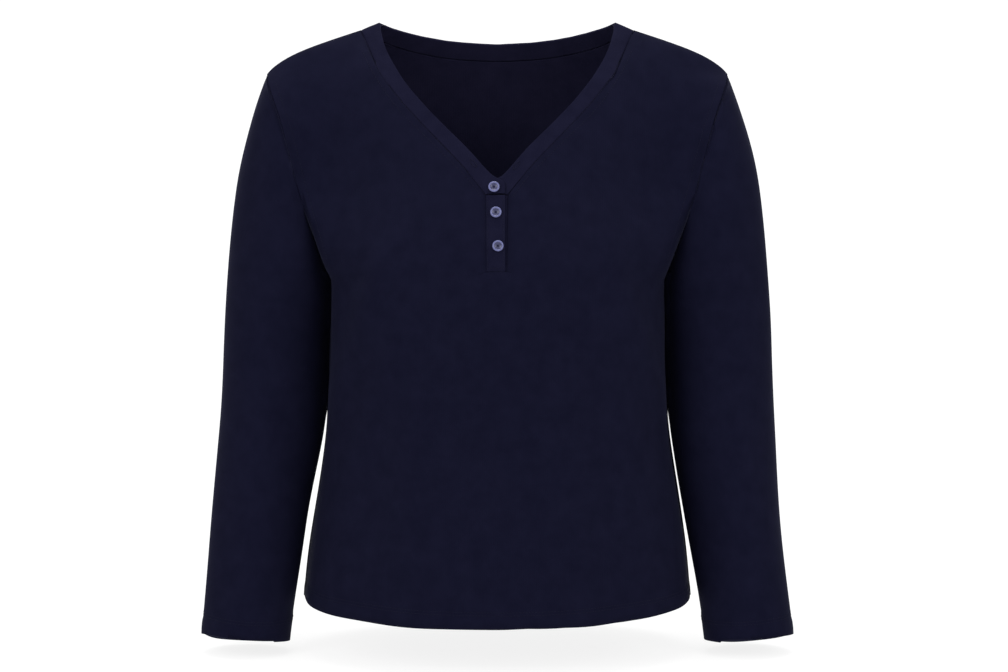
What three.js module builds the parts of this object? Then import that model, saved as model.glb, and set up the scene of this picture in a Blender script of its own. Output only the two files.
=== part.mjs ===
// Pyjama top: a long-sleeved henley of brushed knit, standing open and hollow as if worn.
// Front, back, two set-in sleeves, a neckband, a two-layer placket and three buttons.
// Millimetres, +Z up. The front faces -Y and the wearer's left sleeve is on +X.
// The origin lies midway between the two points where the shoulder seams meet the neck.

import * as THREE from 'three';
import { mergeVertices } from 'three/addons/utils/BufferGeometryUtils.js';

// ---- Cloth and seams ----
const CLOTH = 1.8; // wall of the brushed knit
const SEAM_GAP = 0.35; // between pieces that a seam joins
const CURVED_GAP = 0.95; // the same where both edges curve, at the armholes and the neck
const MERGE = 1e-3; // vertices nearer than this are one

// ---- Body ----
const UNDERARM_Z = -270;
const HEM_Z = -604; // at the side seams
const HEM_DIP = 7; // how much lower the hem hangs at centre front and back
const SIDE_ROUNDNESS = 2.35; // power of the rounded section through front, side and back
const TIP = { x: 239, z: -57 }; // shoulder tip, where the shoulder seam meets the sleeve

// Sections of the body: half width to the side seam or armhole, and reach to front and back.
const BODY_LEVELS = [
  { z: -614, half: 204.0, front: 149, back: 139 },
  { z: -560, half: 198.6, front: 143, back: 134 },
  { z: -500, half: 189.2, front: 139, back: 128 },
  { z: -450, half: 181.6, front: 138, back: 123 },
  { z: -410, half: 177.6, front: 139.5, back: 119.5 },
  { z: -350, half: 176.6, front: 143, back: 117.5 },
  { z: -300, half: 174.4, front: 145.5, back: 118 },
  { z: -270, half: 173.4, front: 145, back: 119 },
  { z: -250, half: 179.5, front: 142.8, back: 119.8 },
  { z: -228, half: 186.0, front: 139, back: 120.5 },
  { z: -198, half: 196.0, front: 131, back: 121 },
  { z: -165, half: 206.0, front: 118.5, back: 119.5 },
  { z: -134, half: 214.0, front: 104.5, back: 115 },
  { z: -99, half: 223.5, front: 88, back: 107 },
  { z: -72, half: 234.0, front: 75, back: 98.5 },
  { z: -57, half: 239.0, front: 67, back: 93 },
  { z: -20, half: 246.0, front: 45, back: 80 },
  { z: 20, half: 250.0, front: 20, back: 66 },
];

// Line of the shoulder, from the middle of the neck hole out to the sleeve.
const SHOULDER_LINE = [
  { x: 0, z: 40 },
  { x: 60, z: 21 },
  { x: 100, z: 4 },
  { x: 123, z: -4 },
  { x: 142, z: -12 },
  { x: 151, z: -15 },
  { x: 176, z: -23 },
  { x: 201, z: -31.6 },
  { x: 219, z: -40 },
  { x: 231, z: -48 },
  { x: 239, z: -57 },
];
const SHOULDER_ROLL = { neck: 100, tip: 10 }; // height over which the cloth rolls over the top

// Half depth of the armhole oval, to the front and to the back of the shoulder seam.
const ARMHOLE_DEPTH = { front: 56, back: 52 };

// ---- Neck ----
const PLACKET_HALF = 11.2; // half width of the slot that the placket fills
const PLACKET_BOTTOM = -256;
const NECK_SEAM_FRONT = [
  { x: 11.2, z: -180 },
  { x: 29, z: -157.5 },
  { x: 65, z: -122 },
  { x: 94, z: -94 },
  { x: 112, z: -71 },
  { x: 125, z: -50 },
  { x: 136, z: -28 },
  { x: 142, z: -12 },
];
const NECKLINE_FRONT = [
  { x: 7.8, z: -158.5 },
  { x: 29, z: -134.5 },
  { x: 61, z: -103 },
  { x: 78, z: -85 },
  { x: 95, z: -64.5 },
  { x: 107, z: -46 },
  { x: 114.5, z: -32 },
  { x: 119.5, z: -18 },
  { x: 123, z: -4 },
];
const NECK_SEAM_BACK = [
  { x: 0, z: -41 },
  { x: 40, z: -39.5 },
  { x: 80, z: -34 },
  { x: 110, z: -26.5 },
  { x: 130, z: -18.5 },
  { x: 142, z: -12 },
];
const NECKLINE_BACK = [
  { x: 0, z: -23 },
  { x: 40, z: -21 },
  { x: 75, z: -16.5 },
  { x: 100, z: -11 },
  { x: 115, z: -7 },
  { x: 123, z: -4 },
];

// ---- Folds: soft ridges (+) and troughs (-) between two points of the front or back view ----
const FRONT_FOLDS = [
  { x0: -112, z0: -245, x1: -164, z1: -415, wide: 15, high: 4.5 },
  { x0: -84, z0: -300, x1: -128, z1: -470, wide: 22, high: -3.5 },
  { x0: 116, z0: -245, x1: 168, z1: -430, wide: 16, high: 4.5 },
  { x0: 92, z0: -310, x1: 132, z1: -480, wide: 22, high: -3.5 },
  { x0: -70, z0: -420, x1: -92, z1: -620, wide: 26, high: 3.5 },
  { x0: -12, z0: -380, x1: -20, z1: -620, wide: 28, high: -3 },
  { x0: 52, z0: -400, x1: 62, z1: -620, wide: 27, high: 3.5 },
  { x0: 108, z0: -470, x1: 124, z1: -620, wide: 22, high: -3 },
  { x0: -136, z0: -480, x1: -152, z1: -620, wide: 18, high: -3 },
];
const BACK_FOLDS = [
  { x0: -60, z0: -330, x1: -84, z1: -620, wide: 30, high: 4 },
  { x0: 10, z0: -300, x1: 4, z1: -620, wide: 30, high: -4 },
  { x0: 72, z0: -340, x1: 92, z1: -620, wide: 28, high: 4 },
  { x0: -120, z0: -230, x1: -158, z1: -400, wide: 18, high: 4 },
  { x0: 124, z0: -240, x1: 160, z1: -420, wide: 18, high: 4 },
  { x0: -128, z0: -450, x1: -140, z1: -620, wide: 22, high: -3 },
  { x0: 130, z0: -470, x1: 144, z1: -620, wide: 22, high: -3 },
];

// ---- Sleeves ----
// Rings of the sleeve below the armhole: its outer and inner edges in the front view, its half
// depths, the y of its middle, and how much higher its front lies than its back.
const SLEEVE_RINGS = [
  { outX: 283.5, outZ: -292, inX: 176.6, inZ: -303, front: 57, back: 56, midY: 1, lift: 0 },
  { outX: 287.3, outZ: -345, inX: 179.2, inZ: -354, front: 55, back: 55, midY: 4, lift: 0 },
  { outX: 290.5, outZ: -397, inX: 180.4, inZ: -406, front: 53, back: 53, midY: 4, lift: 2 },
  { outX: 293.2, outZ: -438, inX: 185.6, inZ: -447, front: 51, back: 51, midY: 1, lift: 5 },
  { outX: 296.4, outZ: -490, inX: 195.4, inZ: -498, front: 49, back: 49, midY: -5, lift: 8 },
  { outX: 300.6, outZ: -545, inX: 204.2, inZ: -553, front: 47, back: 46, midY: -12, lift: 8 },
  { outX: 305.4, outZ: -600, inX: 212.6, inZ: -607, front: 45, back: 43, midY: -19, lift: 8 },
  { outX: 309.0, outZ: -640, inX: 217.6, inZ: -646.5, front: 43, back: 41, midY: -24, lift: 8 },
];
const CAP_FULLNESS = { out: 10, front: 9, back: 9 }; // how far the cap bows past a straight line
const SLEEVE_FOLDS = [
  { side: 1, around0: 34, down0: 0.12, around1: 22, down1: 0.55, wide: 15, high: 3 },
  { side: 1, around0: 128, down0: 0.3, around1: 80, down1: 0.62, wide: 13, high: -3 },
  { side: 1, around0: 60, down0: 0.66, around1: 110, down1: 0.82, wide: 12, high: 2.5 },
  { side: 1, around0: 230, down0: 0.3, around1: 285, down1: 0.6, wide: 14, high: -3 },
  { side: -1, around0: 132, down0: 0.3, around1: 86, down1: 0.58, wide: 13, high: -3 },
  { side: -1, around0: 70, down0: 0.62, around1: 118, down1: 0.8, wide: 12, high: 2.5 },
  { side: -1, around0: 238, down0: 0.28, around1: 290, down1: 0.56, wide: 14, high: -3 },
];

// ---- Buttons and placket ----
const LAYER = (CLOTH + 0.3) / 2; // each placket layer lies this far off the front's own level
const TOP_LAYER_EDGE = 8; // x of the free edge of the layer on top
const UNDER_LAYER_EDGE = -8; // x of the free edge of the layer below
const BUTTON_RADIUS = 5.8;
const BUTTON_THICK = 2.6;
const BUTTONS = [
  { name: 'button_1', x: -3, z: -173.5 },
  { name: 'button_2', x: -1, z: -198 },
  { name: 'button_3', x: 1, z: -230.5 },
];

// ---- How finely the cloth is divided ----
const HALF_COLUMNS = 10; // from the placket or centre line out to the side seam
const NECK_COLUMNS = 6; // of those, the ones that end at the neck seam
const LOWER_ROWS = 11;
const UPPER_ROWS = 15;
const SLEEVE_COLUMNS = 2 * UPPER_ROWS; // so that sleeve and panels share their points at the seam
const CAP_ROWS = 6;
const SLEEVE_ROWS = 12;
const BAND_ROWS = 2;

// ---------------------------------------------------------------- helpers

const lerp = (a, b, t) => a + (b - a) * t;
const clamp01 = (t) => Math.min(1, Math.max(0, t));
const smooth = (a, b, t) => {
  const u = clamp01((t - a) / (b - a));
  return u * u * (3 - 2 * u);
};

// A smooth curve through one column of a table, read by another column.
function curveOf(rows, key, value) {
  const sorted = [...rows].sort((a, b) => a[key] - b[key]);
  const x = sorted.map((row) => row[key]);
  const y = sorted.map((row) => row[value]);
  const chord = x.slice(1).map((next, i) => (y[i + 1] - y[i]) / (next - x[i]));
  const slope = y.map((_, i) => {
    if (i === 0) return chord[0];
    if (i === y.length - 1) return chord[i - 1];
    if (chord[i - 1] * chord[i] <= 0) return 0;
    return (2 * chord[i - 1] * chord[i]) / (chord[i - 1] + chord[i]);
  });
  return (at) => {
    let i = 0;
    while (i < x.length - 2 && at > x[i + 1]) i += 1;
    const h = x[i + 1] - x[i];
    const t = clamp01((at - x[i]) / h);
    const a = 2 * t ** 3 - 3 * t ** 2 + 1;
    const b = t ** 3 - 2 * t ** 2 + t;
    const c = -2 * t ** 3 + 3 * t ** 2;
    const d = t ** 3 - t ** 2;
    return a * y[i] + b * h * slope[i] + c * y[i + 1] + d * h * slope[i + 1];
  };
}

// The sum of the folds at a place of a flat view: each is a soft bump that fades at its ends.
function foldHeight(folds, x, z) {
  let sum = 0;
  for (const f of folds) {
    const dx = f.x1 - f.x0;
    const dz = f.z1 - f.z0;
    const along = ((x - f.x0) * dx + (z - f.z0) * dz) / (dx * dx + dz * dz);
    const t = clamp01(along);
    const off = Math.hypot(x - f.x0 - t * dx, z - f.z0 - t * dz) / f.wide;
    const fade = smooth(-0.05, 0.3, along) * smooth(1.25, 0.8, along);
    sum += f.high * Math.exp(-off * off) * fade;
  }
  return sum;
}

// A closed solid from a grid of points and the unit normals there. keep says which cells of the
// grid are cloth, and closed joins the last column to the first. Each side lies half a cloth off.
function clothSolid(points, normals, { keep = () => true, closed = false } = {}) {
  const rows = points.length;
  const columns = points[0].length;
  const cells = [];
  for (let r = 0; r < rows - 1; r += 1) {
    for (let c = 0; c < (closed ? columns : columns - 1); c += 1) {
      if (keep(r, c)) cells.push([r, c, (c + 1) % columns]);
    }
  }
  const id = (r, c, side) => (r * columns + c) * 2 + side;
  const place = [];
  points.forEach((row, r) => row.forEach((p, c) => {
    for (const half of [CLOTH / 2, -CLOTH / 2]) {
      place.push(...p.clone().addScaledVector(normals[r][c], half).toArray());
    }
  }));
  const faces = [];
  const quad = (a, b, c, d) => faces.push(a, b, c, a, c, d);
  const edges = new Map();
  const addEdge = (a, b) => {
    const back = `${b}|${a}`;
    if (edges.has(back)) edges.delete(back);
    else edges.set(`${a}|${b}`, [a, b]);
  };
  for (const [r, c, n] of cells) {
    quad(id(r, c, 0), id(r, n, 0), id(r + 1, n, 0), id(r + 1, c, 0));
    quad(id(r, c, 1), id(r + 1, c, 1), id(r + 1, n, 1), id(r, n, 1));
    const ring = [[r, c], [r, n], [r + 1, n], [r + 1, c]].map(([i, j]) => i * columns + j);
    ring.forEach((a, i) => addEdge(a, ring[(i + 1) % 4]));
  }
  for (const [a, b] of edges.values()) quad(a * 2 + 1, b * 2 + 1, b * 2, a * 2);
  let geometry = new THREE.BufferGeometry();
  geometry.setAttribute('position', new THREE.Float32BufferAttribute(place, 3));
  geometry.setIndex(faces);
  if (volumeOf(geometry) < 0) {
    for (let i = 0; i < faces.length; i += 3) [faces[i], faces[i + 1]] = [faces[i + 1], faces[i]];
    geometry.setIndex(faces);
  }
  geometry = mergeVertices(geometry.toNonIndexed(), MERGE);
  return geometry;
}

function volumeOf(geometry) {
  const at = geometry.getAttribute('position');
  const index = geometry.getIndex();
  const corner = [new THREE.Vector3(), new THREE.Vector3(), new THREE.Vector3()];
  let sum = 0;
  for (let i = 0; i < index.count; i += 3) {
    corner.forEach((v, k) => v.fromBufferAttribute(at, index.getX(i + k)));
    sum += corner[0].dot(corner[1].clone().cross(corner[2])) / 6;
  }
  return sum;
}

// Unit normal of a surface given as a function of two parameters, taken inside its range.
function normalOf(surface, u, v, range = { u: [0, 1], v: [0, 1] }) {
  const step = 2e-3;
  const pick = (value, [low, high]) => [Math.max(low, value - step), Math.min(high, value + step)];
  const [u0, u1] = pick(u, range.u);
  const [v0, v1] = pick(v, range.v);
  const du = surface(u1, v).sub(surface(u0, v));
  const dv = surface(u, v1).sub(surface(u, v0));
  return du.cross(dv).normalize();
}

// ---------------------------------------------------------------- body surface

const halfWidthAt = curveOf(BODY_LEVELS, 'z', 'half');
const reachAt = {
  front: curveOf(BODY_LEVELS, 'z', 'front'),
  back: curveOf(BODY_LEVELS, 'z', 'back'),
};
const shoulderAt = curveOf(SHOULDER_LINE, 'x', 'z');
const foldsOf = { front: FRONT_FOLDS, back: BACK_FOLDS };

// Half depth of the armhole oval at a height.
function armholeDepth(z, face) {
  const middle = (TIP.z + UNDERARM_Z) / 2;
  const half = (TIP.z - UNDERARM_Z) / 2;
  const level = Math.min(1, Math.abs(z - middle) / half);
  return ARMHOLE_DEPTH[face] * (1 - level ** 2.2) ** (1 / 2.2);
}

// How far the body's cloth lies from the plane of the side seams.
function bodyDepth(x, z, face) {
  const q = Math.min(1, Math.abs(x) / halfWidthAt(z));
  const round = (1 - q ** SIDE_ROUNDNESS) ** (1 / SIDE_ROUNDNESS);
  const shallow = 1 - q ** 2.2;
  const section = lerp(round, shallow, smooth(-250, -150, z));
  const nearSide = q ** 7; // the armhole shapes only the cloth beside it
  const atArmhole = z > UNDERARM_Z ? armholeDepth(z, face) * nearSide : 0;
  const roll = SHOULDER_ROLL.neck * (1 - (Math.abs(x) / TIP.x) ** 4) + SHOULDER_ROLL.tip;
  const below = clamp01((shoulderAt(Math.abs(x)) - z) / roll);
  const over = Math.sqrt(1 - (1 - below) ** 2);
  const fold = foldHeight(foldsOf[face], x, z) * (1 - q ** 10);
  return (atArmhole + (reachAt[face](z) - atArmhole) * section) * over + fold;
}

function bodyPoint(x, z, face) {
  const away = bodyDepth(x, z, face) + SEAM_GAP / 2;
  return new THREE.Vector3(x, face === 'front' ? -away : away, z);
}

// Fractions across a half panel, closer together towards the side seam where the cloth turns.
const across = (s) => Math.sin((s * Math.PI) / 2) ** (2 / SIDE_ROUNDNESS);

// ---------------------------------------------------------------- front and back panels

const neckSeam = {
  front: curveOf(NECK_SEAM_FRONT, 'x', 'z'),
  back: curveOf(NECK_SEAM_BACK, 'x', 'z'),
};
const NECK_POINT = NECK_SEAM_FRONT.at(-1); // where the shoulder seam meets the neckband
const NECK_SHARE = NECK_COLUMNS / HALF_COLUMNS;

// Height of the line that parts the lower block of a panel from its upper block.
function chestLine(s, face) {
  const middle = face === 'front' ? PLACKET_BOTTOM : UNDERARM_Z;
  return lerp(middle, UNDERARM_Z, smooth(0, 1, s));
}

// Place on a panel in the front view: s runs from centre to side, and v from 0 at the hem to 1 at
// the chest line and on to 2 at the neck seam and the shoulder seam.
function panelPlace(s, v, face) {
  const start = face === 'front' ? PLACKET_HALF : 0;
  if (v <= 1) {
    const hem = HEM_Z - HEM_DIP * Math.cos((s * Math.PI) / 2) ** 2;
    const z = lerp(hem, chestLine(s, face), v);
    return { x: lerp(start, halfWidthAt(z), across(s)), z };
  }
  const up = v - 1;
  const rise = (1 - Math.cos(up * Math.PI)) / 2;
  let topX;
  let topZ;
  if (s <= NECK_SHARE) {
    topX = lerp(start, NECK_POINT.x, s / NECK_SHARE);
    topZ = neckSeam[face](topX);
  } else {
    const t = (across(s) - across(NECK_SHARE)) / (1 - across(NECK_SHARE));
    topX = lerp(NECK_POINT.x, TIP.x, t);
    topZ = shoulderAt(topX);
  }
  const z = lerp(chestLine(s, face), topZ, rise);
  const low = lerp(start, halfWidthAt(chestLine(s, face)), across(s));
  const edge = halfWidthAt(Math.min(TIP.z, z));
  const straight = lerp(low, topX, rise);
  const edgeStraight = lerp(halfWidthAt(UNDERARM_Z), TIP.x, rise);
  return { x: straight + (edge - edgeStraight) * across(s) ** 3, z };
}

function panelPoint(s, v, face, sign) {
  const { x, z } = panelPlace(s, v, face);
  return bodyPoint(sign * x, z, face);
}

function panelGrid(face) {
  const doubled = face === 'front'; // the front has a column on each side of the placket slot
  const columns = [];
  for (let i = HALF_COLUMNS; i >= (doubled ? 0 : 1); i -= 1) columns.push([i / HALF_COLUMNS, -1]);
  for (let i = 0; i <= HALF_COLUMNS; i += 1) columns.push([i / HALF_COLUMNS, 1]);
  const levels = [];
  for (let r = 0; r < LOWER_ROWS; r += 1) levels.push(r / LOWER_ROWS);
  for (let r = 0; r <= UPPER_ROWS; r += 1) levels.push(1 + r / UPPER_ROWS);
  const out = new THREE.Vector3();
  const points = levels.map((v) => columns.map(([s, sign]) => panelPoint(s, v, face, sign)));
  const normals = levels.map((v) => columns.map(([s, sign], c) => {
    const block = v <= 1 ? [0, 1] : [1, 2];
    const normal = normalOf((a, b) => panelPoint(a, b, face, sign), s, v, { u: [0, 1], v: block });
    out.set(sign * 0.6, face === 'front' ? -1 : 1, 0.4);
    return normal.multiplyScalar(Math.sign(normal.dot(out)) || 1);
  }));
  return { points, normals };
}

const panels = { front: panelGrid('front'), back: panelGrid('back') };

function makeFront() {
  const { points, normals } = panels.front;
  const slot = HALF_COLUMNS; // the cell between the two middle columns
  return clothSolid(points, normals, { keep: (r, c) => c !== slot || r < LOWER_ROWS });
}

function makeBack() {
  const { points, normals } = panels.back;
  return clothSolid(points, normals);
}

// ---------------------------------------------------------------- sleeves

// A point of the armhole edge. turn is 0 at the shoulder tip, 90 at the front and 180 at the
// underarm, in degrees. Gives the point, the cloth's outward normal and the way off its edge.
function armholeEdge(turn) {
  const face = turn <= 180 ? 'front' : 'back';
  const at = (degrees) => {
    const bend = (1 - Math.cos(THREE.MathUtils.degToRad(degrees))) / 2;
    const z = lerp(TIP.z, UNDERARM_Z, bend);
    return bodyPoint(halfWidthAt(z), z, degrees <= 180 ? 'front' : 'back');
  };
  const point = at(turn);
  const inset = 4;
  const z = point.z;
  const inward = bodyPoint(point.x - inset, Math.min(z, shoulderAt(point.x - inset)), face);
  const along = at(turn + 2).sub(at(turn - 2)).normalize();
  let off = point.clone().sub(inward);
  if (turn < 4 || turn > 356) off = new THREE.Vector3(TIP.x - 231, 0, TIP.z + 48);
  if (Math.abs(turn - 180) < 24) off.lerp(new THREE.Vector3(0, 0, inset), smooth(24, 0, Math.abs(turn - 180)));
  off.addScaledVector(along, -off.dot(along)).normalize();
  const normal = along.clone().cross(off).normalize();
  if (normal.x < 0) normal.negate();
  return { point, normal, off };
}

const sleeveKeys = ['outX', 'outZ', 'inX', 'inZ', 'front', 'back', 'midY', 'lift'];
const ringRows = SLEEVE_RINGS.map((row, i) => ({ ...row, step: i / (SLEEVE_RINGS.length - 1) }));
const ringCurves = Object.fromEntries(sleeveKeys.map((key) => [key, curveOf(ringRows, 'step', key)]));

// A point of the sleeve below the cap, down is 0 at the first ring and 1 at the cuff.
function tubePoint(turn, down) {
  const ring = Object.fromEntries(sleeveKeys.map((key) => [key, ringCurves[key](down)]));
  const c = Math.cos(THREE.MathUtils.degToRad(turn));
  const s = Math.sin(THREE.MathUtils.degToRad(turn));
  const depth = s > 0 ? ring.front : ring.back;
  return new THREE.Vector3(
    lerp(ring.inX, ring.outX, (1 + c) / 2),
    ring.midY - depth * s,
    lerp(ring.inZ, ring.outZ, (1 + c) / 2) + (ring.lift * s) / 2,
  );
}

// A point of the sleeve from the armhole seam (0) over the cap (1) to the cuff (2).
function sleevePoint(turn, v, side) {
  let point;
  if (v >= 1) {
    point = tubePoint(turn, v - 1);
  } else {
    const seam = armholeEdge(turn).point;
    const ring = tubePoint(turn, 0);
    const c = Math.cos(THREE.MathUtils.degToRad(turn));
    const s = Math.sin(THREE.MathUtils.degToRad(turn));
    const bow = Math.sin(Math.PI * v ** 0.85);
    point = seam.lerp(ring, v);
    point.x += CAP_FULLNESS.out * bow * Math.max(0, c) ** 0.7;
    point.y -= (s > 0 ? CAP_FULLNESS.front : CAP_FULLNESS.back) * bow * s;
  }
  const down = v / 2;
  const middle = new THREE.Vector3(lerp(210, 263, down), -10 * down, point.z);
  const outward = point.clone().sub(middle).setZ(0).normalize();
  return point.addScaledVector(outward, sleeveFold(turn, down, side));
}

function sleeveFold(turn, down, side) {
  const girth = 0.95; // millimetres of cloth for each degree around
  const length = 590;
  const flat = SLEEVE_FOLDS.filter((f) => f.side === side).map((f) => ({
    x0: f.around0 * girth,
    z0: f.down0 * length,
    x1: f.around1 * girth,
    z1: f.down1 * length,
    wide: f.wide,
    high: f.high,
  }));
  const here = ((turn % 360) + 360) % 360;
  return foldHeight(flat, here * girth, down * length) * smooth(0.04, 0.16, down);
}

function makeSleeve(side) {
  const levels = [];
  for (let r = 0; r <= CAP_ROWS; r += 1) levels.push((r / CAP_ROWS) ** 1.15);
  for (let r = 1; r <= SLEEVE_ROWS; r += 1) levels.push(1 + r / SLEEVE_ROWS);
  const turns = Array.from({ length: SLEEVE_COLUMNS }, (_, i) => (i * 360) / SLEEVE_COLUMNS);
  const degree = 1.5;
  const points = [];
  const normals = [];
  for (const v of levels) {
    const row = turns.map((turn) => sleevePoint(turn, v, side));
    const outs = turns.map((turn) => {
      const around = sleevePoint(turn + degree, v, side).sub(sleevePoint(turn - degree, v, side));
      const low = Math.min(2, v + 0.02);
      const down = sleevePoint(turn, low, side).sub(sleevePoint(turn, Math.max(0, low - 0.04), side));
      const normal = around.cross(down).normalize();
      const middle = new THREE.Vector3(lerp(215, 263, v / 2), 0, sleevePoint(turn, v, side).z);
      return normal.dot(sleevePoint(turn, v, side).sub(middle)) < 0 ? normal.negate() : normal;
    });
    points.push(row);
    normals.push(outs);
  }
  // The first ring hinges about the outer corner of the body's cut edge, so the walls stay apart.
  turns.forEach((turn, c) => {
    const { point, normal, off } = armholeEdge(turn);
    const away = points[1][c].clone().sub(point);
    const bend = Math.max(0, Math.atan2(away.dot(normal), away.dot(off)));
    const gap = off.clone().multiplyScalar(Math.cos(bend / 2)).addScaledVector(normal, Math.sin(bend / 2));
    const wallOut = normal.clone().multiplyScalar(Math.cos(bend)).addScaledVector(off, -Math.sin(bend));
    const hinge = point.clone().addScaledVector(normal, CLOTH / 2).addScaledVector(gap, CURVED_GAP);
    points[0][c] = hinge.addScaledVector(wallOut, -CLOTH / 2);
    normals[0][c] = wallOut;
    const moved = points[0][c].clone().sub(point);
    for (let r = 1; r < CAP_ROWS; r += 1) points[r][c].addScaledVector(moved, 1 - levels[r]);
  });
  if (side < 0) {
    for (const row of [...points, ...normals]) for (const p of row) p.x *= -1;
  }
  return clothSolid(points, normals, { closed: true });
}

// ---------------------------------------------------------------- neckband, placket and buttons

const necklineAt = {
  front: curveOf(NECKLINE_FRONT, 'x', 'z'),
  back: curveOf(NECKLINE_BACK, 'x', 'z'),
};

// A point moved off the panel's own level, along its normal.
function raised(x, z, level, face = 'front') {
  const step = 1;
  const px = bodyPoint(x + step, z, face).sub(bodyPoint(x - step, z, face));
  const pz = bodyPoint(x, z + step, face).sub(bodyPoint(x, z - step, face));
  const normal = px.cross(pz).normalize();
  if (normal.y > 0 === (face === 'front')) normal.negate();
  return { point: bodyPoint(x, z, face).addScaledVector(normal, level), normal };
}

// A point of a panel's own neck edge: t runs from 0 at its middle to 1 at the shoulder seam. Between
// two columns it is straight, as the panel's edge is.
function neckEdge(grid, side, t) {
  const last = grid.points.at(-1);
  const turned = grid.normals.at(-1);
  const count = last.length;
  const start = side < 0 ? HALF_COLUMNS : count - 1 - HALF_COLUMNS;
  const at = Math.min(NECK_COLUMNS - 1e-9, t * NECK_COLUMNS);
  const column = Math.floor(at);
  const [a, b] = [start + side * column, start + side * (column + 1)];
  return {
    point: last[a].clone().lerp(last[b], at - column),
    normal: turned[a].clone().lerp(turned[b], at - column).normalize(),
  };
}

// One cross line of the neckband, from its seam to its free edge, lifted off the panel by level.
function bandLine(seam, edge, level) {
  const row = { points: [], normals: [] };
  const width = edge.point.distanceTo(seam.point);
  for (let k = 0; k <= BAND_ROWS; k += 1) {
    const f = lerp(CURVED_GAP / width, 1, k / BAND_ROWS);
    const normal = seam.normal.clone().lerp(edge.normal, f).normalize();
    const point = seam.point.clone().lerp(edge.point, f).addScaledVector(normal, level);
    row.points.push(point);
    row.normals.push(normal);
  }
  return row;
}

// The band's cross lines down one front, from the shoulder seam past the placket to its end.
function frontBandLines(side) {
  const grid = panels.front;
  const layer = side < 0 ? LAYER : -LAYER; // the wearer's right end lies on top
  const lines = [];
  const steps = NECK_COLUMNS * 3;
  for (let i = 0; i <= steps; i += 1) {
    const t = 1 - i / steps;
    const seam = neckEdge(grid, side, t);
    const x = lerp(NECKLINE_FRONT[0].x + 4, NECKLINE_FRONT.at(-1).x, t);
    const edge = raised(side * x, necklineAt.front(x), 0);
    const lift = smooth(36, PLACKET_HALF, Math.abs(seam.point.x));
    lines.push(bandLine(seam, edge, layer * lift));
  }
  const endSeam = NECK_SEAM_FRONT[0].z;
  const ends = [
    { seamX: 6, seamZ: endSeam + 0.4, edgeX: 4, edgeZ: -162 },
    { seamX: -2, seamZ: endSeam + 0.4, edgeX: -3.5, edgeZ: -164.5 },
    { seamX: -8, seamZ: endSeam + 0.4, edgeX: -8, edgeZ: -168 },
  ];
  for (const end of ends) {
    const seam = raised(side * end.seamX, end.seamZ, 0);
    lines.push(bandLine(seam, raised(side * end.edgeX, end.edgeZ, 0), layer));
  }
  return lines;
}

// The band's cross lines round the back of the neck, from one shoulder seam to the other.
function backBandLines() {
  const lines = [];
  const steps = NECK_COLUMNS * 2;
  for (let i = 1 - steps; i < steps; i += 1) {
    const t = Math.abs(i) / steps;
    const seam = neckEdge(panels.back, i < 0 ? -1 : 1, t);
    const x = Math.sign(i) * NECKLINE_BACK.at(-1).x * t;
    lines.push(bandLine(seam, raised(x, necklineAt.back(Math.abs(x)), 0, 'back'), 0));
  }
  return lines;
}

// The cross line at a shoulder seam lies midway between the front's and the back's.
function shoulderBandLine(side) {
  const ends = ['front', 'back'].map((face) => neckEdge(panels[face], side, 1));
  const middle = (key) => ends[0][key].clone().add(ends[1][key]).multiplyScalar(0.5);
  const seam = { point: middle('point'), normal: middle('normal').normalize() };
  const x = side * NECKLINE_FRONT.at(-1).x;
  const edge = { point: new THREE.Vector3(x, 0, NECKLINE_FRONT.at(-1).z), normal: seam.normal };
  return bandLine(seam, edge, 0);
}

function makeNeckband() {
  const right = frontBandLines(-1).slice(1).reverse();
  const left = frontBandLines(1).slice(1);
  const lines = [...right, shoulderBandLine(-1), ...backBandLines(), shoulderBandLine(1), ...left];
  return clothSolid(lines.map((line) => line.points), lines.map((line) => line.normals));
}

function makePlacket(fromX, toX, level) {
  const columns = 4;
  const rows = 12;
  const top = NECK_SEAM_FRONT[0].z - SEAM_GAP;
  const bottom = PLACKET_BOTTOM + SEAM_GAP;
  const points = [];
  const normals = [];
  for (let r = 0; r <= rows; r += 1) {
    const z = lerp(bottom, top, r / rows);
    const row = [];
    for (let c = 0; c <= columns; c += 1) row.push(raised(lerp(fromX, toX, c / columns), z, level));
    points.push(row.map((cell) => cell.point));
    normals.push(row.map((cell) => cell.normal));
  }
  return clothSolid(points, normals);
}

function makeButton() {
  const r = BUTTON_RADIUS;
  const h = BUTTON_THICK;
  const profile = [
    [0, 0], [r * 0.72, 0], [r * 0.94, h * 0.3], [r, h * 0.55],
    [r * 0.94, h * 0.88], [r * 0.8, h], [r * 0.62, h * 0.82], [r * 0.5, h * 0.6], [0, h * 0.55],
  ].map(([x, y]) => new THREE.Vector2(x, y));
  const lathe = new THREE.LatheGeometry(profile, 20);
  lathe.deleteAttribute('normal');
  lathe.deleteAttribute('uv');
  return mergeVertices(lathe, MERGE);
}

// ---------------------------------------------------------------- the garment

const knit = (shade) => new THREE.MeshStandardMaterial({ color: shade, roughness: 0.95, metalness: 0 });
const garment = new THREE.Group();
garment.name = 'pyjama_top';

function addPiece(name, geometry, material) {
  const mesh = new THREE.Mesh(geometry, material);
  mesh.name = name;
  garment.add(mesh);
  return mesh;
}

addPiece('front', makeFront(), knit(0x17172a));
addPiece('back', makeBack(), knit(0x161629));
addPiece('sleeve_left', makeSleeve(1), knit(0x181829));
addPiece('sleeve_right', makeSleeve(-1), knit(0x181829));
addPiece('neckband', makeNeckband(), knit(0x1f1e30));
const slotEdge = PLACKET_HALF - SEAM_GAP;
addPiece('placket_top', makePlacket(-slotEdge, TOP_LAYER_EDGE, LAYER), knit(0x1b1c30));
addPiece('placket_under', makePlacket(UNDER_LAYER_EDGE, slotEdge, -LAYER), knit(0x17172a));

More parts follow.
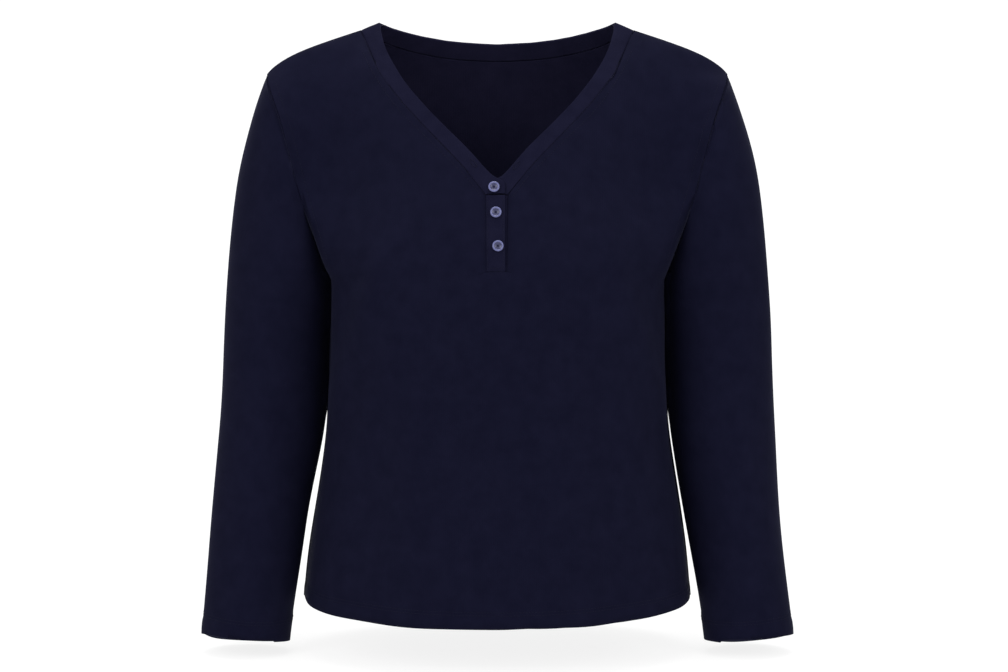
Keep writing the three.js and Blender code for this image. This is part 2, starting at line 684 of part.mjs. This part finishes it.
for (const { name, x, z } of BUTTONS) {
  const shell = new THREE.MeshStandardMaterial({ color: 0x343656, roughness: 0.3, metalness: 0 });
  const button = addPiece(name, makeButton(), shell);
  const seat = raised(x, z, LAYER + CLOTH / 2 + SEAM_GAP);
  button.position.copy(seat.point);
  button.quaternion.setFromUnitVectors(new THREE.Vector3(0, 1, 0), seat.normal);
}

export default garment;
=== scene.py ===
import math
import bmesh
import bpy
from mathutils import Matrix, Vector, noise
from mathutils.bvhtree import BVHTree


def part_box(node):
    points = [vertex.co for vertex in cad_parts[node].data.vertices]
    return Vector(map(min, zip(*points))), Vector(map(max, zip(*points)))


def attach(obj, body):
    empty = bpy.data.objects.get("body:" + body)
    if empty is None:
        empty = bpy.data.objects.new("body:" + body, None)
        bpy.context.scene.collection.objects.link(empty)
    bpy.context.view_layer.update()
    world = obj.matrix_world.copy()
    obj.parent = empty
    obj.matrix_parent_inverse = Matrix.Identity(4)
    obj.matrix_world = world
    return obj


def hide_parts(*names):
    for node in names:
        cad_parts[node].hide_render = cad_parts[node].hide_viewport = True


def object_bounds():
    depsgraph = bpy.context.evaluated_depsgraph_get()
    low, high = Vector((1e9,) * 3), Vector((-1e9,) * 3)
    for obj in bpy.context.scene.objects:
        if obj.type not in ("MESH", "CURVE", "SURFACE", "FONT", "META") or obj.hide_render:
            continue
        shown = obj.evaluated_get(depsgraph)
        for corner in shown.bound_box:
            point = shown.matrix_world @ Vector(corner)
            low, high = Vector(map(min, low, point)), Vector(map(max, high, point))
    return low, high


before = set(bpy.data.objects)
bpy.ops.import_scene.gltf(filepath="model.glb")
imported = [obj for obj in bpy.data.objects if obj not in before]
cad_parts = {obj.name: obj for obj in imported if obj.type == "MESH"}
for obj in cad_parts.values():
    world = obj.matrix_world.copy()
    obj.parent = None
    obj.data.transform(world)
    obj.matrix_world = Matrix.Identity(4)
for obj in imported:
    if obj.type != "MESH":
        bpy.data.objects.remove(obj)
cad_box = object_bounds()

# ------------------------------------------------------------------ front and back
# The two body panels of brushed navy knit, cut in one piece each and filled out as if worn.
# They are sewn at the shoulders and sides, and end in a hem turned up and stitched twice.
NAVY = (0.0051, 0.0053, 0.0160, 1)
NAVY_DEEP = (0.0037, 0.0039, 0.0127, 1)
# A paler copy of the knit for the inward faces: painted light, standing in for the light that
# reaches inside through the neck.
PAINTED_INSIDE_LIGHT_NAVY = (0.0112, 0.0104, 0.0275, 1)
PAINTED_INSIDE_LIGHT_DEEP = (0.0084, 0.0080, 0.0222, 1)
HEM_DEPTH = 0.014
HEM_SWELL = 0.0007
CUT_EDGE_ANGLE = math.radians(55)
CUT_EDGE_CREASE = 0.92


def brushed_knit(name, light, dark, fuzz=0.22):
    """Fine knit with a brushed, slightly mottled nap; the wales run down the cloth."""
    material = bpy.data.materials.new(name)
    material.use_nodes = True
    nodes, links = material.node_tree.nodes, material.node_tree.links
    shader = nodes["Principled BSDF"]
    shader.inputs["Roughness"].default_value = 0.92
    shader.inputs["Specular IOR Level"].default_value = 0.04
    shader.inputs["Sheen Weight"].default_value = 0.05
    shader.inputs["Sheen Roughness"].default_value = 0.3
    shader.inputs["Sheen Tint"].default_value = (0.32, 0.34, 0.62, 1)
    place = nodes.new("ShaderNodeTexCoord")

    def pattern(kind, **values):
        node = nodes.new(kind)
        links.new(place.outputs["Object"], node.inputs["Vector"])
        for key, value in values.items():
            node.inputs[key].default_value = value
        return node

    nap = pattern("ShaderNodeTexNoise", Scale=55.0, Detail=5.0, Roughness=0.62)
    fibres = pattern("ShaderNodeTexNoise", Scale=1500.0, Detail=2.0)
    ramp = nodes.new("ShaderNodeValToRGB")
    ramp.color_ramp.elements[0].position = 0.32
    ramp.color_ramp.elements[0].color = dark
    ramp.color_ramp.elements[1].position = 0.70
    ramp.color_ramp.elements[1].color = light
    links.new(nap.outputs["Fac"], ramp.inputs["Fac"])
    links.new(ramp.outputs["Color"], shader.inputs["Base Color"])
    wales = pattern("ShaderNodeTexWave", Scale=170.0, Distortion=1.6)
    wales.inputs["Detail Scale"].default_value = 3.0
    height = nodes.new("ShaderNodeMath")
    height.operation = "MULTIPLY_ADD"
    height.inputs[1].default_value = fuzz
    links.new(wales.outputs["Fac"], height.inputs[0])
    links.new(fibres.outputs["Fac"], height.inputs[2])
    bump = nodes.new("ShaderNodeBump")
    bump.inputs["Strength"].default_value = 0.35
    bump.inputs["Distance"].default_value = 0.0004
    links.new(height.outputs["Value"], bump.inputs["Height"])
    links.new(bump.outputs["Normal"], shader.inputs["Normal"])
    return material


def cloth_from(node, levels=2):
    """A fine smooth shell on a node's own form: its triangles paired into quads, then divided."""
    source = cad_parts[node]
    shell = bmesh.new()
    shell.from_mesh(source.data)
    bmesh.ops.remove_doubles(shell, verts=shell.verts, dist=1e-6)
    bmesh.ops.join_triangles(
        shell, faces=shell.faces, angle_face_threshold=0.9, angle_shape_threshold=1.2
    )
    crease = shell.edges.layers.float.new("crease_edge")
    for edge in shell.edges:
        if edge.calc_face_angle(0) > CUT_EDGE_ANGLE:
            edge[crease] = CUT_EDGE_CREASE
    mesh = bpy.data.meshes.new(node + "_cloth")
    shell.to_mesh(mesh)
    shell.free()
    piece = bpy.data.objects.new(node + "_cloth", mesh)
    bpy.context.scene.collection.objects.link(piece)
    divide = piece.modifiers.new("divide", "SUBSURF")
    divide.levels = divide.render_levels = levels
    divide.use_limit_surface = False
    bpy.context.view_layer.update()
    fine = bpy.data.meshes.new_from_object(
        piece.evaluated_get(bpy.context.evaluated_depsgraph_get())
    )
    piece.modifiers.clear()
    piece.data = fine
    fine.shade_smooth()
    return piece


def tree_of(*pieces):
    """A search tree over the faces of some pieces."""
    verts, faces = [], []
    for piece in pieces:
        start = len(verts)
        verts += [v.co.copy() for v in piece.data.vertices]
        faces += [[start + i for i in f.vertices] for f in piece.data.polygons]
    return BVHTree.FromPolygons(verts, faces)


def draw_together(piece, *others, reach=0.0024, share=0.9):
    """Sews a piece to its neighbours: points of its cut edges move almost onto their edges."""
    tree = tree_of(*others)
    shell = bmesh.new()
    shell.from_mesh(piece.data)
    cut = {v.index for e in shell.edges if e.calc_face_angle(0) > math.radians(35) for v in e.verts}
    shell.free()
    for index in cut:
        vertex = piece.data.vertices[index]
        place, _, _, _ = tree.find_nearest(vertex.co, reach)
        if place is not None:
            vertex.co = vertex.co.lerp(place, share)
    piece.data.update()


def smoothstep(low, high, value):
    t = min(1.0, max(0.0, (value - low) / (high - low)))
    return t * t * (3 - 2 * t)


def lift(piece, height):
    """Moves each point of a piece along its normal by height(point, normal), in metres."""
    mesh = piece.data
    moved = []
    for vertex in mesh.vertices:
        moved.append(vertex.co + vertex.normal * height(vertex.co, vertex.normal))
    for vertex, place in zip(mesh.vertices, moved):
        vertex.co = place
    mesh.update()


def sway(point, size, seed):
    """Very soft unevenness of hanging cloth, the same on both faces of the wall."""
    spot = Vector((point.x / size, point.y / size + seed, point.z / (size * 3.2)))
    return noise.noise(spot)


def ridge(point, high, low, width):
    """A soft fold from a high to a low place (x, z): 1 on its line, a dip of 0.45 outside it."""
    across = Vector((abs(point.x) - high[0], point.z - high[1]))
    line = Vector((low[0] - high[0], low[1] - high[1]))
    share = across.dot(line) / line.length_squared
    off = (across.x * -line.y + across.y * line.x) / line.length / width
    fade = smoothstep(-0.25, 0.2, share) * smoothstep(1.25, 0.75, share)
    return fade * (math.exp(-off * off) - 0.45 * math.exp(-((off - 1.9) ** 2)))


def turn_inside(piece, material, faces_in):
    """Gives a second material to the faces of a piece that look inward."""
    piece.data.materials.append(material)
    for face in piece.data.polygons:
        if faces_in(face):
            face.material_index = 1


# Soft folds from the bust and the shoulder towards the side: height, high end, low end, width.
FRONT_RIDGES = (
    (0.0024, (0.118, -0.245), (0.168, -0.392), 0.0105),
    (0.0016, (0.092, -0.300), (0.158, -0.480), 0.0120),
    (0.0012, (0.150, -0.105), (0.176, -0.225), 0.0100),
)

knit = brushed_knit("navy_brushed_knit", NAVY, NAVY_DEEP)
hem_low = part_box("front")[0][2]
body = {}
for node, face in (("front", -1), ("back", 1)):
    panel = cloth_from(node)
    panel.data.materials.append(knit)

    def drape(point, normal, face=face):
        outward = 1 if normal.y * face > -0.2 and normal.x * point.x > -0.02 else -1
        free = smoothstep(-0.08, -0.30, point.z)
        soft = 0.0034 * sway(point, 0.062, 3.0 * face) * free
        if face < 0:
            for height, high, low, width in FRONT_RIDGES:
                soft += height * ridge(point, high, low, width)
        hem = smoothstep(hem_low + HEM_DEPTH + 0.0030, hem_low + HEM_DEPTH + 0.0002, point.z)
        return outward * soft + HEM_SWELL * hem

    lift(panel, drape)
    body[node] = panel
    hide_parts(node)
    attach(panel, "root")
draw_together(body["front"], body["back"])
# The inward faces of the back take the paler copy: painted light inside the garment.
inside_painted_light = brushed_knit("navy_knit_painted_inside_light", PAINTED_INSIDE_LIGHT_NAVY, PAINTED_INSIDE_LIGHT_DEEP)
turn_inside(body["back"], inside_painted_light, lambda face: face.normal.y < -0.15)

# ------------------------------------------------------------------ sleeves
# Long set-in sleeves of the same knit, each one panel closed along the underarm.
# The cuff is a turned-up hem like the body's, a little deeper.
CUFF_DEPTH = 0.021
UNDERARM = -0.262
LEAN_HALF_WIDTH = 0.186
LEAN_REACH = 0.0045
LEAN_END = -0.425
sleeves = {}
for node, side in (("sleeve_left", 1), ("sleeve_right", -1)):
    sleeve = cloth_from(node)
    sleeve.data.materials.append(knit)
    cuff_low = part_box(node)[0][2]

    def crumple(point, normal, side=side, cuff_low=cuff_low):
        middle = Vector((side * (0.226 + 0.037 * smoothstep(-0.25, -0.64, point.z)), -0.01, point.z))
        outward = 1 if (point - middle).dot(normal) > 0 else -1
        away = smoothstep(0.178, 0.20, abs(point.x)) * smoothstep(-0.07, -0.16, point.z)
        soft = 0.0042 * sway(point, 0.055, 11.0 * side) * away
        line = cuff_low + CUFF_DEPTH + 0.006 * (0.30 - abs(point.x)) / 0.09
        hem = smoothstep(line + 0.0025, line, point.z)
        return outward * soft + HEM_SWELL * hem

    lift(sleeve, crumple)
    draw_together(sleeve, *body.values())
    # Below the underarm the sleeve leans on the body's side.
    body_side = tree_of(*body.values())
    for vertex in sleeve.data.vertices:
        if vertex.co.z < UNDERARM and abs(vertex.co.x) < LEAN_HALF_WIDTH:
            place, _, _, _ = body_side.find_nearest(vertex.co, LEAN_REACH)
            if place is not None and (vertex.normal.x * vertex.co.x < 0):
                near = smoothstep(LEAN_END, LEAN_END + 0.040, vertex.co.z)
                vertex.co = vertex.co.lerp(place, 0.9 * near)
    sleeve.data.update()
    sleeves[node] = sleeve
    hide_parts(node)
    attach(sleeve, "root")

# ------------------------------------------------------------------ neckband and placket
# One folded strip of the knit sewn round the neck edge, and two folded strips that close
# the front slit, the wearer's right over the left. They are a shade lighter: doubled cloth.
BAND_NAVY = (0.0066, 0.0066, 0.0190, 1)
BAND_DEEP = (0.0049, 0.0049, 0.0152, 1)
band_knit = brushed_knit("navy_band_knit", BAND_NAVY, BAND_DEEP, 0.3)
trims = {}
for node, levels, flat in (
    ("neckband", 3, (0.62, 0.022)),
    ("placket_top", 3, (0.019, 0.080)),
    ("placket_under", 3, (0.019, 0.080)),
):
    trim = cloth_from(node, levels)
    trim.data.materials.append(band_knit)
    lift(trim, lambda point, normal: 0.00025 * sway(point, 0.012, 5.0))
    if node == "neckband":
        draw_together(trim, *body.values())
        # The inward back of the band takes the same paler copy: painted light inside.
        turn_inside(trim, inside_painted_light, lambda face: face.normal.y < -0.15 and face.center.y > 0.01)
    if node == "placket_top":
        # Sewn down along its left side and its foot, and free along its right edge.
        for vertex in trim.data.vertices:
            held = max(
                smoothstep(-0.0055, -0.0095, vertex.co.x), smoothstep(-0.2480, -0.2555, vertex.co.z)
            )
            vertex.co.y += 0.0013 * held
    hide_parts(node)
    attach(trim, "root")
    trims[node] = trim

# ------------------------------------------------------------------ stitching
# Navy polyester thread: a twin line round the hem and cuffs, single lines along the neckband,
# the armholes and the placket, and close stitches round the two worked buttonholes.
thread = bpy.data.materials.new("navy_thread")
thread.use_nodes = True
thread_shader = thread.node_tree.nodes["Principled BSDF"]
thread_shader.inputs["Roughness"].default_value = 0.8
thread_shader.inputs["Specular IOR Level"].default_value = 0.1
ply = thread.node_tree.nodes.new("ShaderNodeTexWave")
ply.inputs["Scale"].default_value = 900.0
ply_shades = thread.node_tree.nodes.new("ShaderNodeValToRGB")
ply_shades.color_ramp.elements[0].color = (0.0042, 0.0043, 0.0128, 1)
ply_shades.color_ramp.elements[1].color = (0.0092, 0.0096, 0.0255, 1)
ply_place = thread.node_tree.nodes.new("ShaderNodeTexCoord")
thread.node_tree.links.new(ply_place.outputs["Object"], ply.inputs["Vector"])
thread.node_tree.links.new(ply.outputs["Fac"], ply_shades.inputs["Fac"])
thread.node_tree.links.new(ply_shades.outputs["Color"], thread_shader.inputs["Base Color"])


def resample(points, step):
    """Points a step apart along a line of (place, normal)."""
    out, carry = [points[0]], 0.0
    for (a, na), (b, nb) in zip(points, points[1:]):
        span = (b - a).length
        at = step - carry
        while at < span:
            t = at / span
            out.append((a.lerp(b, t), na.lerp(nb, t).normalized()))
            at += step
        carry = (carry + span) % step
    return out


def sew(name, lines, long=0.0024, gap=0.0008, thick=0.00026):
    """One mesh of small rounded stitches along lines of (place, normal), sunk by half."""
    made = bmesh.new()
    for line in lines:
        if len(line) < 2:
            continue
        spots = resample(line, long + gap)
        for (a, na), (b, _) in zip(spots, spots[1:]):
            along = (b - a).normalized()
            if (b - a).length > 3 * (long + gap):
                continue
            side = along.cross(na).normalized()
            rings = []
            for t, fat in ((0.0, 0.35), (0.2, 0.9), (0.5, 1.1), (0.8, 0.9), (1.0, 0.35)):
                middle = a + along * long * t + na * thick * 0.5 * fat
                ring = []
                for k in range(6):
                    turn = k * math.tau / 6
                    off = side * math.cos(turn) + na * math.sin(turn)
                    ring.append(made.verts.new(middle + off * thick * fat * 0.8))
                rings.append(ring)
            for low, high in zip(rings, rings[1:]):
                for k in range(6):
                    n = (k + 1) % 6
                    made.faces.new((low[k], low[n], high[n], high[k]))
            made.faces.new(rings[0][::-1])
            made.faces.new(rings[-1])
    mesh = bpy.data.meshes.new(name)
    bmesh.ops.recalc_face_normals(made, faces=made.faces)
    made.to_mesh(mesh)
    made.free()
    mesh.materials.append(thread)
    mesh.shade_smooth()
    piece = bpy.data.objects.new(name, mesh)
    bpy.context.scene.collection.objects.link(piece)
    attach(piece, "root")
    return piece


def cast(tree, start, way):
    """The first face met from start, as (place, outward normal), or None."""
    place, normal, _, _ = tree.ray_cast(start, way)
    if place is None:
        return None
    return place, (-normal if normal.dot(way) > 0 else normal)


def around(tree, middle, height, lean=0.0, count=240):
    """A line round a tube at a height that leans across it, met from outside."""
    line = []
    for k in range(count + 1):
        turn = k * math.tau / count
        out = Vector((math.cos(turn), math.sin(turn), 0))
        start = middle + out * 0.5
        start.z = height + lean * math.cos(turn)
        hit = cast(tree, start, -out)
        if hit:
            line.append(hit)
    return line


HEM_AT_SIDES = -0.604
HEM_DIP = 0.007
HEM_ROWS = (0.0125, 0.0155)
CUFF_LOW = -0.6433
CUFF_MIDDLE = (0.2633, -0.024)
CUFF_LEAN = 0.0032
CUFF_ROWS = (0.0195, 0.0225)
body_tree = tree_of(*body.values())
for row, rise in enumerate(HEM_ROWS):
    line = []
    for k in range(361):
        turn = k * math.tau / 360
        out = Vector((math.cos(turn), math.sin(turn), 0))
        start = out * 0.5
        dip = HEM_DIP * (1 - abs(out.x) ** 2)
        start.z = HEM_AT_SIDES - dip + rise
        hit = cast(body_tree, start, -out)
        if hit:
            line.append(hit)
    sew(f"hem_stitches_{row + 1}", [line])

sleeve_trees = {node: tree_of(piece) for node, piece in sleeves.items()}
for node, side in (("sleeve_left", 1), ("sleeve_right", -1)):
    for row, rise in enumerate(CUFF_ROWS):
        middle = Vector((side * CUFF_MIDDLE[0], CUFF_MIDDLE[1], 0))
        line = around(sleeve_trees[node], middle, CUFF_LOW + rise, side * CUFF_LEAN)
        sew(f"{node}_cuff_stitches_{row + 1}", [line])


def onto(tree, x, z, face=-1):
    """The place on the front (-1) or back (1) seen straight on at x and z."""
    return cast(tree, Vector((x, face * 0.4, z)), Vector((0, -face, 0)))


def curve_through(points, count=14):
    """A smooth line through a few flat points, as a Catmull-Rom curve."""
    rows = [points[0], *points, points[-1]]
    out = []
    for a, b, c, d in zip(rows, rows[1:], rows[2:], rows[3:]):
        for k in range(count):
            t = k / count
            out.append(tuple(
                0.5 * (2 * q + (r - p) * t + (2 * p - 5 * q + 4 * r - s) * t * t
                       + (3 * q - p - 3 * r + s) * t ** 3)
                for p, q, r, s in zip(a, b, c, d)
            ))
    return out + [points[-1]]


neck_seam = [(0.014, -0.180), (0.029, -0.1605), (0.065, -0.125), (0.094, -0.0972), (0.113, -0.0735),
             (0.1275, -0.051), (0.138, -0.030)]
SEAM_TO_STITCH = 0.0017
lines = []
for side in (-1, 1):
    spots = [
        onto(body_tree, side * (x + SEAM_TO_STITCH), z - SEAM_TO_STITCH)
        for x, z in curve_through(neck_seam)
    ]
    lines.append([hit for hit in spots if hit])
sew("neck_topstitch", lines)

armhole = [(0.2285, -0.066), (0.2215, -0.085), (0.2130, -0.108), (0.2045, -0.138), (0.1968, -0.168),
           (0.1880, -0.198), (0.1785, -0.228), (0.1720, -0.250)]
lines = []
for side in (-1, 1):
    for face in (-1, 1):
        hits = [onto(body_tree, side * x, z, face) for x, z in curve_through(armhole)]
        lines.append([hit for hit in hits if hit])
sew("armhole_topstitch", lines)

PLACKET_LEFT, PLACKET_RIGHT = -0.0092, 0.0064
PLACKET_HEAD = -0.183
PLACKET_FOOT_ROWS = (-0.2515, -0.2545)
placket_tree = tree_of(trims["placket_top"])
edge_lines = []
for x in (PLACKET_LEFT, PLACKET_RIGHT):
    hits = [onto(placket_tree, x, PLACKET_HEAD - 0.0012 * k) for k in range(60)]
    edge_lines.append([hit for hit in hits if hit])
for z in PLACKET_FOOT_ROWS:
    hits = [onto(placket_tree, PLACKET_LEFT + 0.0013 * k, z) for k in range(13)]
    edge_lines.append([hit for hit in hits if hit])
sew("placket_stitches", edge_lines, long=0.0019, gap=0.0006)

BUTTONHOLES = ((-1, -0.0235, -0.1485), (1, 0.0195, -0.1505))
HALF_SLIT, HALF_SLIT_WIDTH = 0.0050, 0.0017
band_tree = tree_of(trims["neckband"])
slits = []
for side, x, z in BUTTONHOLES:
    along = Vector((side * 0.68, 0, 0.73))
    across = Vector((-along.z, 0, along.x))
    line = []
    for k in range(25):
        turn = k * math.tau / 24
        spot = Vector((x, 0, z)) + along * HALF_SLIT * math.cos(turn)
        spot += across * HALF_SLIT_WIDTH * math.sin(turn)
        hit = onto(band_tree, spot.x, spot.z)
        if hit:
            line.append(hit)
    slits.append(line)
sew("buttonhole_stitches", slits, long=0.0011, gap=0.0002, thick=0.00042)

# ------------------------------------------------------------------ buttons
# Three small moulded buttons with a pearly navy sheen, a raised rim with a painted highlight in a
# paler colour and a dished middle, each sewn on with a cross of navy thread.
pearl = bpy.data.materials.new("pearly_navy_button")
pearl.use_nodes = True
pearl_shader = pearl.node_tree.nodes["Principled BSDF"]
pearl_shader.inputs["Roughness"].default_value = 0.34
pearl_shader.inputs["Specular IOR Level"].default_value = 0.35
pearl_shader.inputs["Coat Weight"].default_value = 0.25
pearl_shader.inputs["Coat Roughness"].default_value = 0.12
swirl = pearl.node_tree.nodes.new("ShaderNodeTexNoise")
swirl.inputs["Scale"].default_value = 420.0
swirl.inputs["Distortion"].default_value = 2.5
swirl_shades = pearl.node_tree.nodes.new("ShaderNodeValToRGB")
swirl_shades.color_ramp.elements[0].color = (0.012, 0.013, 0.045, 1)
swirl_shades.color_ramp.elements[1].color = (0.034, 0.036, 0.105, 1)
swirl_place = pearl.node_tree.nodes.new("ShaderNodeTexCoord")
pearl.node_tree.links.new(swirl_place.outputs["Object"], swirl.inputs["Vector"])
pearl.node_tree.links.new(swirl.outputs["Fac"], swirl_shades.inputs["Fac"])
pearl.node_tree.links.new(swirl_shades.outputs["Color"], pearl_shader.inputs["Base Color"])

# A paler copy of the pearl for the raised rim: a painted highlight.
painted_highlight_pearl = pearl.copy()
painted_highlight_pearl.name = "pearly_navy_button_painted_highlight"
for node in painted_highlight_pearl.node_tree.nodes:
    if node.type == "VALTORGB":
        node.color_ramp.elements[0].color = (0.055, 0.060, 0.155, 1)
        node.color_ramp.elements[1].color = (0.130, 0.140, 0.300, 1)

BUTTON_RADIUS = 0.0057
BUTTON_THICK = 0.0027
BUTTON_SIDES = 48
SEAT_GAP = 0.0004
# The rings of the raised rim, which take the painted highlight.
PAINTED_HIGHLIGHT_RINGS = range(5, 9)
# Shares of the radius outward and of the thickness upward, from the middle of the underside.
profile = ((0.0, 0.0), (0.62, 0.0), (0.86, 0.10), (0.97, 0.26), (1.0, 0.42), (0.98, 0.62),
           (0.91, 0.80), (0.82, 0.88), (0.73, 0.84), (0.66, 0.70), (0.60, 0.60), (0.50, 0.58),
           (0.44, 0.50), (0.36, 0.44), (0.0, 0.42))
for node in ("button_1", "button_2", "button_3"):
    low, high = (Vector(corner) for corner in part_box(node))
    middle = (low + high) / 2
    seat_tree = band_tree if node == "button_1" else placket_tree
    place, normal = onto(seat_tree, middle.x, middle.z)
    turn_to = normal.to_track_quat("Z", "Y")
    made = bmesh.new()
    rings = []
    for out, up in profile:
        ring = []
        for k in range(BUTTON_SIDES if out else 1):
            angle = k * math.tau / BUTTON_SIDES
            flat = Vector((math.cos(angle), math.sin(angle), 0)) * out * BUTTON_RADIUS
            flat.z = up * BUTTON_THICK + SEAT_GAP
            ring.append(made.verts.new(place + turn_to @ flat))
        rings.append(ring)
    for row, (a, b) in enumerate(zip(rings, rings[1:])):
        for k in range(BUTTON_SIDES):
            n = (k + 1) % BUTTON_SIDES
            corners = [a[k % len(a)], a[n % len(a)], b[n % len(b)], b[k % len(b)]]
            face = made.faces.new(list(dict.fromkeys(corners)))
            face.material_index = 1 if row in PAINTED_HIGHLIGHT_RINGS else 0
    bmesh.ops.recalc_face_normals(made, faces=made.faces)
    mesh = bpy.data.meshes.new(node + "_moulded")
    made.to_mesh(mesh)
    made.free()
    mesh.shade_smooth()
    mesh.materials.append(pearl)
    mesh.materials.append(painted_highlight_pearl)
    button = bpy.data.objects.new(node + "_moulded", mesh)
    bpy.context.scene.collection.objects.link(button)
    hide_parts(node)
    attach(button, "root")
    cross = []
    for angle in (math.pi / 4, -math.pi / 4):
        reach = Vector((math.cos(angle), math.sin(angle), 0)) * 0.0015
        level = Vector((0, 0, 0.47 * BUTTON_THICK + SEAT_GAP))
        cross.append([(place + turn_to @ (level + end), normal) for end in (-reach, reach)])
    sew(node + "_thread", cross, long=0.0027, gap=0.0001, thick=0.00045)

# ------------------------------------------------------------------ studio
# A pale floor that curves up into a backdrop, three large soft lights and white air.
# The camera has a long lens and looks slightly down at the middle of the garment.
def stage_sheet(name, shade, glow):
    """The floor and backdrop in one curved sheet, with a faint glow of its own."""
    half, back, rise, low = 6.0, 3.0, 6.0, cad_box[0][2] - 0.012
    made = bmesh.new()
    profile = [(-5.0, low)] + [
        (back - 1.5 + 1.5 * math.sin(a * math.pi / 24), low + 1.5 - 1.5 * math.cos(a * math.pi / 24))
        for a in range(13)
    ] + [(back, low + rise)]
    rows = [(made.verts.new((-half, y, z)), made.verts.new((half, y, z))) for y, z in profile]
    for a, b in zip(rows, rows[1:]):
        made.faces.new((a[0], a[1], b[1], b[0]))
    mesh = bpy.data.meshes.new(name)
    made.to_mesh(mesh)
    made.free()
    mesh.shade_smooth()
    white = bpy.data.materials.new(name + "_paper")
    white.use_nodes = True
    paper = white.node_tree.nodes["Principled BSDF"]
    paper.inputs["Base Color"].default_value = shade
    paper.inputs["Roughness"].default_value = 1.0
    paper.inputs["Specular IOR Level"].default_value = 0.0
    paper.inputs["Emission Color"].default_value = (1, 1, 1, 1)
    paper.inputs["Emission Strength"].default_value = glow
    mesh.materials.append(white)
    sheet = bpy.data.objects.new(name, mesh)
    bpy.context.scene.collection.objects.link(sheet)


stage_sheet("studio_floor", (0.2, 0.2, 0.2, 1), 0.83)
world = bpy.data.worlds.new("studio_air")
world.use_nodes = True
world.node_tree.nodes["Background"].inputs["Color"].default_value = (1, 1, 1, 1)
world.node_tree.nodes["Background"].inputs["Strength"].default_value = 0.85
bpy.context.scene.world = world
for name, spot, size, power in (
    ("key", (-1.9, -2.4, 1.5), 1.8, 42),
    ("fill", (2.1, -2.3, 1.1), 2.0, 34),
    ("top", (0.0, 0.4, 2.6), 2.4, 60),
):
    light = bpy.data.lights.new(name, "AREA")
    light.size = size
    light.energy = power
    lamp = bpy.data.objects.new(name, light)
    lamp.location = spot
    lamp.rotation_euler = (Vector((0, 0, -0.3)) - lamp.location).to_track_quat("-Z", "Y").to_euler()
    bpy.context.scene.collection.objects.link(lamp)

CAMERA_AWAY = 2.5
camera_data = bpy.data.cameras.new("camera")
camera_data.lens = 85.03
camera_data.sensor_width = 36
camera = bpy.data.objects.new("camera", camera_data)
target = Vector((0.007, 0, -0.330))
tilt = math.radians(4.5)
camera.location = target + Vector((0, -math.cos(tilt), math.sin(tilt))) * CAMERA_AWAY
camera.rotation_euler = (target - camera.location).to_track_quat("-Z", "Y").to_euler()
bpy.context.scene.collection.objects.link(camera)
bpy.context.scene.camera = camera
bpy.context.scene.view_settings.view_transform = "Standard"
